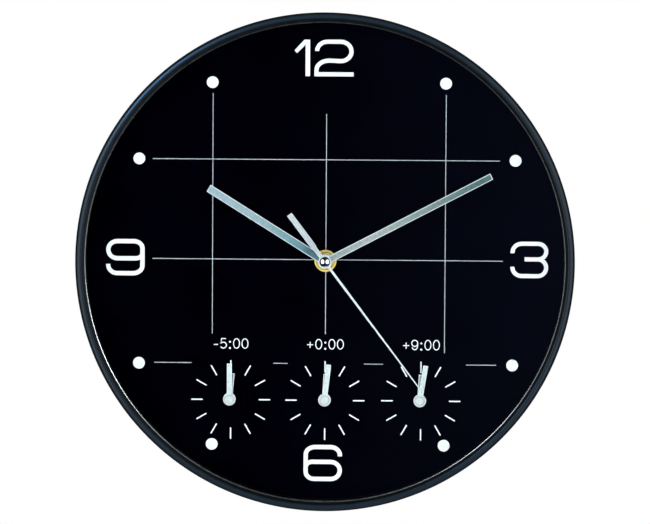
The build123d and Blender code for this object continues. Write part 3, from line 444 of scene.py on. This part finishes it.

# Painted highlight: the chamfers take a pale, nearly non-metallic colour instead of the hands' own
# metal
painted_highlight_edge = pale_metal("hand_edge_painted_highlight", (0.76, 0.85, 0.87), (0.85, 0.93, 0.95))
painted_highlight_second_edge = pale_metal("second_edge_painted_highlight", (0.90, 0.95, 0.96), (0.95, 0.98, 0.98))
hub_metal = pale_metal("satin_hub", (0.58, 0.64, 0.65), (0.67, 0.73, 0.74))
hand_faces = {
    "hour": brushed_hand(
        "brushed_hour_hand_painted_shadow", (0.335, 0.485, 0.53), (0.51, 0.69, 0.76), (0.34, 0.44), HOUR_PAINTED_SHADOW,
    ),
    "minute": brushed_hand(
        "brushed_minute_hand_painted_shade", (0.45, 0.525, 0.50), (0.71, 0.80, 0.76), (0.34, 0.44), MINUTE_PAINTED_SHADE,
    ),
    "second": brushed_hand(
        "brushed_second_hand_painted_shade", (0.62, 0.70, 0.72), (0.82, 0.90, 0.92), (0.40, 0.50), SECOND_PAINTED_SHADE,
    ),
    # The zone hour hands take a darker tone of the zone minute hands' metal: painted shade
    "zone_hour": brushed_hand(
        "brushed_zone_hour_hand_painted_shade", (0.24, 0.30, 0.29), (0.38, 0.45, 0.43), (0.36, 0.46),
    ),
    "zone_minute": brushed_hand(
        "brushed_zone_minute_hand", (0.42, 0.50, 0.50), (0.57, 0.66, 0.66), (0.40, 0.50),
    ),
}


def front_rim(shape):
    rim = []
    for edge in shape.edges:
        lean = sorted(face.normal.y for face in edge.link_faces)
        if len(lean) == 2 and edge.is_convex:
            if lean[0] < RIM_LEAN and abs(lean[1]) < WALL_LEAN:
                rim.append(edge)
    return rim


def edged_hand(name, centre, turn, face_material):
    second = name == "second_hand"
    small = "zone" in name
    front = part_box(name)[0].y
    cap_height = front + ZONE_CAP / 2 * MM if small and "minute" in name else front - MM
    shape = bmesh.new()
    shape.from_mesh(nodes[name].data)
    verts, edges = shape.verts, shape.edges
    bmesh.ops.remove_doubles(shape, verts=verts[:], dist=WELD_M)
    bmesh.ops.dissolve_limit(shape, angle_limit=FLAT_ANGLE, verts=verts[:], edges=edges[:])
    width, depth = (FINE_WIDTH, FINE_DEPTH) if second else (EDGE_WIDTH, EDGE_DEPTH)
    offset = width * MM
    rim = front_rim(shape)
    levels = {round(edge.verts[0].co.y + offset, 6) for edge in rim}
    bmesh.ops.bevel(
        shape, geom=rim, offset=offset, segments=1, affect="EDGES", clamp_overlap=True
    )
    for vert in shape.verts:
        if round(vert.co.y, 6) in levels:
            vert.co.y += depth * MM - offset
    layer = shape.loops.layers.uv.new("UVMap")
    along = Vector((sin(turn), 0.0, cos(turn)))
    across = Vector((cos(turn), 0.0, -sin(turn)))
    if second:
        tip = max((vert.co - centre).dot(along) for vert in shape.verts) / MM
        for vert in shape.verts:
            reach = (vert.co - centre) / MM
            share = (reach.dot(along) - TAPER_START) / (tip - TAPER_START)
            if share > 0:
                vert.co -= across * (reach.dot(across) * (1 - TIP_SHARE) * share * MM)
    shape.normal_update()
    for face in shape.faces:
        flat = face.normal.y < FLAT_LEAN and face.calc_center_median().y > cap_height
        spans = [hypot(vert.co.x - centre.x, vert.co.z - centre.z) for vert in face.verts]
        hub = small and max(spans) < HUB_REACH * MM
        face.material_index = HUB if hub else FACE if flat else EDGE
        face.smooth = False
        for loop in face.loops:
            reach = (loop.vert.co - centre) / MM
            loop[layer].uv = (reach.dot(across), reach.dot(along))
    painted_highlight_material = painted_highlight_second_edge if second else painted_highlight_edge
    piece = placed(f"{name}_plate", shape, face_material, painted_highlight_material, hub_metal)
    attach(piece, HAND_BODIES[name])
    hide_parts(name)


for name, turn in HAND_ANGLES.items():
    if name.startswith("zone"):
        zone = name.split("_")[1]
        kind = "zone_hour" if "hour" in name else "zone_minute"
        pivot = joint_places[f"zone_{zone}_minute_turn"]
        edged_hand(name, pivot, radians(turn), hand_faces[kind])
    else:
        edged_hand(name, shaft, radians(turn), hand_faces[name.split("_")[0]])

# Bezel: a crowned band with its lip, a side wall and an inner bead, each turned as a ring

FACE_WIDTH, CROWN_RADIUS, EDGE_DROP = 4.0, 4.0, 1.2
LIP_STEP, LIP_BEAD, LIP_THICKNESS, LIP_WIDTH = 0.8, 0.7, 2.4, 6.3
SKIRT_WALL, SKIRT_DEPTH, SKIRT_DRAFT, EDGE_STRIP = 1.6, 14.0, 0.5, 0.6
CROWN_STEPS, BEAD_STEPS, SEGMENTS = 16, 8, 288


def turned(name, profile, material, body, segments=SEGMENTS):
    shape = bmesh.new()
    rings = []
    for radius, height, _ in profile:
        ring = []
        for index in range(segments):
            turn = 2 * pi * index / segments
            x, z = shaft.x + radius * MM * sin(turn), shaft.z + radius * MM * cos(turn)
            ring.append(shape.verts.new((x, -height * MM, z)))
        rings.append(ring)
    for index, ring in enumerate(rings):
        following = rings[(index + 1) % len(rings)]
        for j in range(segments):
            k = (j + 1) % segments
            face = shape.faces.new((ring[j], ring[k], following[k], following[j]))
            face.smooth = True
    for ring, (_, _, sharp) in zip(rings, profile):
        if sharp:
            for j in range(segments):
                shape.edges.get((ring[j], ring[(j + 1) % segments])).smooth = False
    bmesh.ops.recalc_face_normals(shape, faces=shape.faces[:])
    piece = placed(name, shape, material)
    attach(piece, body)
    return piece


crown_peak = bezel_outer - (2 * CROWN_RADIUS * EDGE_DROP - EDGE_DROP**2) ** 0.5
crown_start = acos((CROWN_RADIUS - EDGE_DROP) / CROWN_RADIUS)
crown_stop = asin((bezel_outer - FACE_WIDTH - crown_peak) / CROWN_RADIUS)
step_height = bezel_front - LIP_STEP
lip_inner = bezel_outer - LIP_WIDTH
lip_back = bezel_front - LIP_THICKNESS
strip_draft = SKIRT_DRAFT * EDGE_STRIP / (SKIRT_DEPTH - EDGE_DROP)
skirt_top = (bezel_outer - strip_draft, bezel_front - EDGE_DROP - EDGE_STRIP, True)
skirt_inner = (bezel_outer - SKIRT_WALL, lip_back, True)
skirt_foot = bezel_front - SKIRT_DEPTH

# Each point of a profile has a radius, a height and whether its ring is a sharp edge
band_profile = [skirt_top]
for step in range(CROWN_STEPS + 1):
    tilt = crown_start + (crown_stop - crown_start) * step / CROWN_STEPS
    height = bezel_front - CROWN_RADIUS + CROWN_RADIUS * cos(tilt)
    band_profile.append((crown_peak + CROWN_RADIUS * sin(tilt), height, step == CROWN_STEPS))
band_profile += [
    (bezel_outer - FACE_WIDTH, step_height, True),
    (lip_inner + LIP_BEAD, step_height, True),
    (lip_inner + LIP_BEAD, lip_back, True),
    skirt_inner,
]
bezel = turned("bezel", band_profile, finishes["case_gloss"], "case")
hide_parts("bezel_ring")

skirt_profile = [
    (bezel_outer - SKIRT_DRAFT, skirt_foot, True),
    skirt_top,
    skirt_inner,
    (bezel_outer - SKIRT_WALL, skirt_foot, True),
]
turned("bezel_skirt", skirt_profile, finishes["case_gloss"], "case")

bead_profile = []
for step in range(BEAD_STEPS + 1):
    tilt = radians(90) * step / BEAD_STEPS
    radius, height = LIP_BEAD * (1 - sin(tilt)), LIP_BEAD * (cos(tilt) - 1)
    bead_profile.append((lip_inner + radius, step_height + height, step == 0))
bead_profile += [(lip_inner, lip_back, True), (lip_inner + LIP_BEAD, lip_back, True)]
bead_trim = finish(
    "bead_trim", (0.063, 0.070, 0.070), (0.088, 0.097, 0.097), (0.26, 0.32), 4.0, metallic=1.0,
)
bezel_bead = turned("bezel_bead", bead_profile, bead_trim, "case")

# Brass washer: a dished ring with a rolled rim

WASHER_INNER, WASHER_OUTER, WASHER_FLAT = 4.2, 6.76, 1.05
ROLL_WIDTH, ROLL_HEIGHT, ROLL_STEPS = 1.1, 0.30, 12
WASHER_SEGMENTS = 96
washer_back = -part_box("dial_washer")[1].y / MM
roll_foot = washer_back + WASHER_FLAT
washer_profile = [(WASHER_INNER, washer_back, True), (WASHER_INNER, roll_foot, True)]
for step in range(ROLL_STEPS + 1):
    turn = pi * step / ROLL_STEPS
    radius = WASHER_OUTER - ROLL_WIDTH / 2 - ROLL_WIDTH / 2 * cos(turn)
    height = roll_foot + ROLL_HEIGHT * sin(turn)
    washer_profile.append((radius, height, step in (0, ROLL_STEPS)))
washer_profile.append((WASHER_OUTER, washer_back, True))
rim_brass = turned_brass("rolled_brass", (1.0, 0.73, 0.10), (1.0, 0.87, 0.29))
washer = turned("washer", washer_profile, rim_brass, "case", WASHER_SEGMENTS)
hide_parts("dial_washer")

# Printed marks: thin solids on the dial, drawn as polygons from the shaft outwards

SAME_POINT = 1e-4
PRINT_LOW, PRINT_HIGH = -0.02, 0.05


def arc(cx, cz, rx, rz, start, end, steps=12):
    turns = [radians(start + (end - start) * step / steps) for step in range(steps + 1)]
    return [(cx + rx * cos(turn), cz + rz * sin(turn)) for turn in turns]


def disc(x, z, radius, sides):
    return arc(x, z, radius, radius, 0, 360 - 360 / sides, sides - 1)


def apart(first, second):
    return hypot(second[0] - first[0], second[1] - first[1])


def stroke(points, width, closed=False):
    line = [points[0]]
    for point in points[1:]:
        if apart(line[-1], point) > SAME_POINT:
            line.append(point)
    if closed and apart(line[-1], line[0]) < SAME_POINT:
        line.pop()
    count = len(line)
    runs = count if closed else count - 1
    normals = []
    for index in range(runs):
        start, end = line[index], line[(index + 1) % count]
        length = apart(start, end)
        normals.append(((start[1] - end[1]) / length, (end[0] - start[0]) / length))
    sides = []
    for index, (x, z) in enumerate(line):
        before = normals[index - 1] if closed or index > 0 else normals[0]
        after = normals[index % runs] if closed or index < runs else normals[-1]
        mean = (before[0] + after[0], before[1] + after[1])
        scale = width / max(0.5, 1 + before[0] * after[0] + before[1] * after[1]) / 2
        dx, dz = mean[0] * scale, mean[1] * scale
        sides.append(((x + dx, z + dz), (x - dx, z - dz)))
    quads = []
    for index in range(runs):
        a, b = sides[index], sides[(index + 1) % count]
        quads.append([a[0], a[1], b[1], b[0]])
    return quads


def moved(polygons, dx, dz, flip=False):
    sign = -1 if flip else 1
    return [[(sign * x + dx, sign * z + dz) for x, z in polygon] for polygon in polygons]


def printed(name, polygons, material):
    points, faces = [], []
    for polygon in polygons:
        faces.append(list(range(len(points), len(points) + len(polygon))))
        points.extend(Vector(point) for point in polygon)
    flat = delaunay_2d_cdt(points, [], faces, 1, SAME_POINT, True)
    corners = [(shaft.x + point.x * MM, shaft.z + point.y * MM) for point in flat[0]]
    triangles = [face for face, owners in zip(flat[2], flat[5]) if owners]
    shape = bmesh.new()

    def layer(height):
        return [shape.verts.new((x, dial_face - height * MM, z)) for x, z in corners]

    top, bottom = layer(PRINT_HIGH), layer(PRINT_LOW)
    edges = {(face[i], face[(i + 1) % len(face)]) for face in triangles for i in range(len(face))}
    for face in triangles:
        shape.faces.new([top[i] for i in face])
        shape.faces.new([bottom[i] for i in reversed(face)])
    for a, b in edges:
        if (b, a) not in edges:
            shape.faces.new((top[b], top[a], bottom[a], bottom[b]))
    loose = [vert for vert in shape.verts if not vert.link_faces]
    bmesh.ops.delete(shape, geom=loose, context="VERTS")
    bmesh.ops.recalc_face_normals(shape, faces=shape.faces[:])
    bmesh.ops.dissolve_limit(
        shape, angle_limit=radians(0.5), verts=shape.verts[:], edges=shape.edges[:]
    )
    piece = placed(name, shape, material)
    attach(piece, "case")


white_ink = ink("print_white", (0.86, 0.90, 0.92), (0.92, 0.95, 0.97))
grey_ink = ink("print_grey", (0.44, 0.48, 0.52), (0.56, 0.60, 0.64))

# Numerals

SIX_STROKE, THREE_STROKE, TWO_STROKE = 2.66, 2.50, 2.55


def six():
    left, right, foot, bar = -10.525, 10.525, -9.875, 0.71
    line = [(right, 4.22)]
    line += arc(right - 5.6, 4.9, 5.6, 4.975, 0, 90)
    line += arc(left + 5.9, 5.275, 5.9, 4.6, 90, 180)
    line += arc(left + 5.2, foot + 4.4, 5.2, 4.4, 180, 270)
    line += arc(right - 5.6, -4.58, 5.6, 5.29, -90, 90)
    line += arc(left + 4.2, bar - 3.4, 4.2, 3.4, 90, 180)
    return stroke(line, SIX_STROKE)


def three():
    left, right, bar, bar_end = -10.325, 10.325, 0.35, -2.88
    upper = [(left, 4.1)]
    upper += arc(left + 5.8, 4.6, 5.8, 5.325, 180, 90)
    upper += arc(right - 5.0, 5.14, 5.0, 4.79, 90, -90)
    upper += [(bar_end, bar)]
    lower = [(bar_end, bar)]
    lower += arc(right - 5.0, -4.79, 5.0, 5.14, 90, -90)
    lower += arc(left + 5.8, -4.7, 5.8, 5.225, 270, 180)
    lower += [(left, -4.28)]
    return stroke(upper, THREE_STROKE) + stroke(lower, THREE_STROKE)


def twelve():
    one = [(-17.33, -11.2), (-14.55, -11.2), (-14.55, 11.1), (-17.95, 11.1)]
    one += [(-24.12, 4.5), (-22.55, 2.8), (-17.33, 8.0)]
    two = [(-10.19, 4.2)]
    two += arc(-3.56, 4.53, 6.63, 5.38, 180, 90)
    two += arc(4.21, 3.97, 6.57, 5.93, 90, -90)
    two += arc(-2.66, -7.28, 7.92, 5.62, 90, 180)
    two += [(-10.58, -10.02), (12.13, -10.02)]
    return [one] + stroke(two, TWO_STROKE)


numerals = moved(twelve(), 4.41, 124.39) + moved(three(), 124.91, 1.53)
numerals += moved(six(), -1.01, -124.82) + moved(six(), -123.11, 1.24, True)
printed("dial_numerals", numerals, white_ink)

# Dots and lines

DOT_RADIUS, DOT_SIDES = 3.62, 48
DOT_PLACES = [(-69.77, 109.09), (73.11, 109.13), (-114.67, 62.04), (115.96, 62.21)]
DOT_PLACES += [(-114.58, -63.85), (114.96, -63.49), (-69.53, -113.65), (73.30, -113.36)]
dots = [disc(x, z, DOT_RADIUS, DOT_SIDES) for x, z in DOT_PLACES]
printed("dial_dots", dots, white_ink)

LINE_WIDTH, HUB_CLEARANCE = 0.42, 0.15
hub_edge = WASHER_OUTER + HUB_CLEARANCE
level_lines = [(62.00, -106.4, 106.5), (0.62, -106.4, -hub_edge), (0.62, hub_edge, 108.7)]
level_lines += [(-63.45, -105.1, -82.2), (-63.45, -31.9, -22.9)]
level_lines += [(-63.45, 23.9, 35.7), (-63.45, 86.6, 105.1)]
upright_lines = [(-69.45, -45.4, 102.4), (0.18, hub_edge, 90.1)]
upright_lines += [(0.18, -45.1, -hub_edge), (73.32, -56.3, 102.1)]
grid = []
for z, start, end in level_lines:
    grid += stroke([(start, z), (end, z)], LINE_WIDTH)
for x, start, end in upright_lines:
    grid += stroke([(x, start), (x, end)], LINE_WIDTH)
printed("dial_grid", grid, grey_ink)

# Hour ticks of the small dials

TICK_INNER, TICK_OUTER, TICK_WIDTH, TICK_CUT = 17.2, 24.4, 0.79, 0.25
TICK_CENTRES = {"left": (-57.91, -86.05), "middle": (0.06, -86.10), "right": (59.05, -85.95)}


def tick(turn):
    half, cut = TICK_WIDTH / 2, TICK_CUT
    low, high = TICK_INNER, TICK_OUTER
    outline = [(-half + cut, low), (half - cut, low), (half, low + cut), (half, high - cut)]
    outline += [(half - cut, high), (-half + cut, high), (-half, high - cut), (-half, low + cut)]
    return [(x * cos(turn) + z * sin(turn), z * cos(turn) - x * sin(turn)) for x, z in outline]


for zone in ZONES:
    ticks = moved([tick(radians(30 * hour)) for hour in range(12)], *TICK_CENTRES[zone])
    printed(f"zone_{zone}_ticks", ticks, white_ink)

# Hour offsets over the small dials, each mark with its advance and its polygons

LABEL_STROKE, LABEL_FOOT = 0.56, -54.8
POINT_RADIUS, POINT_SIDES = 0.62, 24
OFFSETS = {"left": "-5:00", "middle": "+0:00", "right": "+9:00"}


def bar(*points):
    return stroke(list(points), LABEL_STROKE)


def point(height):
    return disc(0, height, POINT_RADIUS, POINT_SIDES)


oval = stroke(arc(0, 3.4, 1.85, 2.95, 0, 360, 28), LABEL_STROKE, True)
five = bar((1.6, 6.35), (-1.15, 6.35), (-1.55, 3.3), *arc(0, 2.3, 1.85, 1.85, 147, -150, 18))
nine = stroke(arc(0, 4.45, 1.85, 1.9, 0, 360, 24), LABEL_STROKE, True)
nine += stroke(arc(0, 3.4, 1.85, 2.95, 22, -150, 16), LABEL_STROKE)
GLYPHS = {
    "0": (5.2, oval),
    "5": (5.2, five),
    "9": (5.2, nine),
    ":": (2.9, [point(0.6), point(4.4)]),
    "+": (5.4, bar((-1.9, 3.0), (1.9, 3.0)) + bar((0, 1.1), (0, 4.9))),
    "-": (4.0, bar((-1.3, 2.7), (1.3, 2.7))),
}
for zone, text in OFFSETS.items():
    at = TICK_CENTRES[zone][0] - sum(GLYPHS[mark][0] for mark in text) / 2
    label = []
    for mark in text:
        advance, polygons = GLYPHS[mark]
        label += moved(polygons, at + advance / 2, LABEL_FOOT)
        at += advance
    printed(f"zone_{zone}_offset", label, white_ink)

# Camera, in metres and degrees

AZIMUTH, ELEVATION, ROLL = radians(2.0), radians(4.0), radians(0.33)
DISTANCE = 2.6
aim = Vector((0.00030, -0.0446, shaft.z + 0.00050))
away = Vector((sin(AZIMUTH) * cos(ELEVATION), -cos(AZIMUTH) * cos(ELEVATION), sin(ELEVATION)))
camera_data = bpy.data.cameras.new("camera")
camera_data.sensor_fit = "HORIZONTAL"
camera_data.sensor_width = 36.0
camera_data.lens = 236.3
camera_data.clip_end = 50.0
camera = bpy.data.objects.new("camera", camera_data)
bpy.context.scene.collection.objects.link(camera)
turn = (-away).to_track_quat("-Z", "Y").to_matrix().to_4x4() @ Matrix.Rotation(ROLL, 4, "Z")
camera.matrix_world = Matrix.Translation(aim + away * DISTANCE) @ turn
bpy.context.scene.camera = camera

# Lamps, in metres and watts, all turned to the clock

DAYLIGHT, SKY_BLUE = (0.94, 0.98, 1.0), (0.07, 0.40, 1.0)
CLOCK_CENTRE = Vector((0.0, -0.03, -0.118))


def softbox(name, place, width, height, power, colour, shape="RECTANGLE"):
    light = bpy.data.lights.new(name, "AREA")
    light.shape = shape
    light.size = width
    light.size_y = height
    light.energy = power
    light.color = colour
    lamp = bpy.data.objects.new(name, light)
    lamp.location = place
    lamp.rotation_euler = (CLOCK_CENTRE - Vector(place)).to_track_quat("-Z", "Y").to_euler()
    lamp.visible_camera = False
    bpy.context.scene.collection.objects.link(lamp)
    return lamp


def mirrored_only(piece, *lamps):
    receivers = bpy.data.collections.new(f"{piece.name}_lit")
    receivers.objects.link(piece)
    for lamp in lamps:
        lamp.visible_diffuse = False
        lamp.light_linking.receiver_collection = receivers


softbox("left_softbox", (-0.98, -1.66, -0.05), 1.4, 1.8, 20.2, DAYLIGHT, "ELLIPSE")
softbox("right_softbox", (0.98, -1.66, -0.05), 1.4, 1.8, 18.3, DAYLIGHT, "ELLIPSE")
mirrored_only(
    bezel,
    softbox("window_softbox", (-0.70, -1.53, 0.41), 0.42, 0.42, 29.0, SKY_BLUE),
)
mirrored_only(
    bezel_bead,
    softbox("top_softbox", (0.0, -1.30, 1.10), 1.6, 0.45, 5.0, DAYLIGHT),
    softbox("high_left_softbox", (-1.4, -0.8, 1.2), 0.7, 0.7, 90.0, DAYLIGHT),
    softbox("right_rim_softbox", (1.7, -0.8, 0.5), 0.8, 0.8, 180.0, DAYLIGHT),
)
softbox("rear_softbox", (0.9, 1.9, 0.9), 1.2, 1.2, 30.0, grey(1.0))

# World: white paper behind the clock, a dark room mirrored in front of it

AMBIENT_STRENGTH = 0.22
SWEEP_SLOPE, SWEEP_START = 10.0, 0.75
world = bpy.data.worlds.new("studio")
bpy.context.scene.world = world
world.use_nodes = True
sky = world.node_tree
sky.nodes.clear()
sky_out = sky.nodes.new("ShaderNodeOutputWorld")
path = sky.nodes.new("ShaderNodeLightPath")
view = sky.nodes.new("ShaderNodeTexCoord")
axes = sky.nodes.new("ShaderNodeSeparateXYZ")
sky.links.new(view.outputs["Generated"], axes.inputs["Vector"])


def calc(operation, *values, clamp=False):
    node = add_node(sky, "ShaderNodeMath", operation=operation, use_clamp=clamp)
    for socket, value in zip(node.inputs, values):
        if isinstance(value, float):
            socket.default_value = value
        else:
            sky.links.new(value, socket)
    return node.outputs["Value"]


def mixed_shader(share, first, second):
    node = sky.nodes.new("ShaderNodeMixShader")
    sky.links.new(share, node.inputs["Fac"])
    sky.links.new(first, node.inputs[1])
    sky.links.new(second, node.inputs[2])
    return node.outputs["Shader"]


is_camera = path.outputs["Is Camera Ray"]
is_glossy = path.outputs["Is Glossy Ray"]
is_through = path.outputs["Is Transmission Ray"]
behind = calc("GREATER_THAN", axes.outputs["Y"], 0.0)
ahead = calc("SUBTRACT", 1.0, behind)
seen_behind = calc("ADD", calc("MULTIPLY", is_glossy, behind), calc("MULTIPLY", is_through, behind))
white_share = calc("ADD", is_camera, seen_behind, clamp=True)
mirrored = calc("ADD", is_glossy, is_through, clamp=True)
room_share = calc("MULTIPLY", mirrored, ahead, clamp=True)
ambient = sky.nodes.new("ShaderNodeBackground")
ambient.inputs["Color"].default_value = (0.93, 0.97, 1.0, 1.0)
ambient.inputs["Strength"].default_value = AMBIENT_STRENGTH
paper = sky.nodes.new("ShaderNodeBackground")
paper.inputs["Color"].default_value = (1.0, 1.0, 1.0, 1.0)
sweep = calc("MULTIPLY_ADD", axes.outputs["X"], SWEEP_SLOPE, SWEEP_START)
room = sky.nodes.new("ShaderNodeBackground")
room_tones = ramp(sky, sweep, [(0.3, (0.0, 0.0, 0.004)), (1.0, (0.03, 0.04, 0.09))])
sky.links.new(room_tones, room.inputs["Color"])
dim_side = mixed_shader(room_share, ambient.outputs["Background"], room.outputs["Background"])
whole = mixed_shader(white_share, dim_side, paper.outputs["Background"])
sky.links.new(whole, sky_out.inputs["Surface"])
bpy.context.scene.view_settings.view_transform = "Standard"

# Floor, in metres

FLOOR_RADIUS, FLOOR_PLACE = 1.2, (0.0, 0.3, -1.5)
floor_paper = finish(
    "floor_paper", grey(0.78), grey(0.82), (0.8, 0.9), 200.0, specular=0.1,
)
ground = bmesh.new()
bmesh.ops.create_circle(
    ground, cap_ends=True, segments=96, radius=FLOOR_RADIUS, matrix=Matrix.Translation(FLOOR_PLACE)
)
floor = placed("studio_floor", ground, floor_paper)
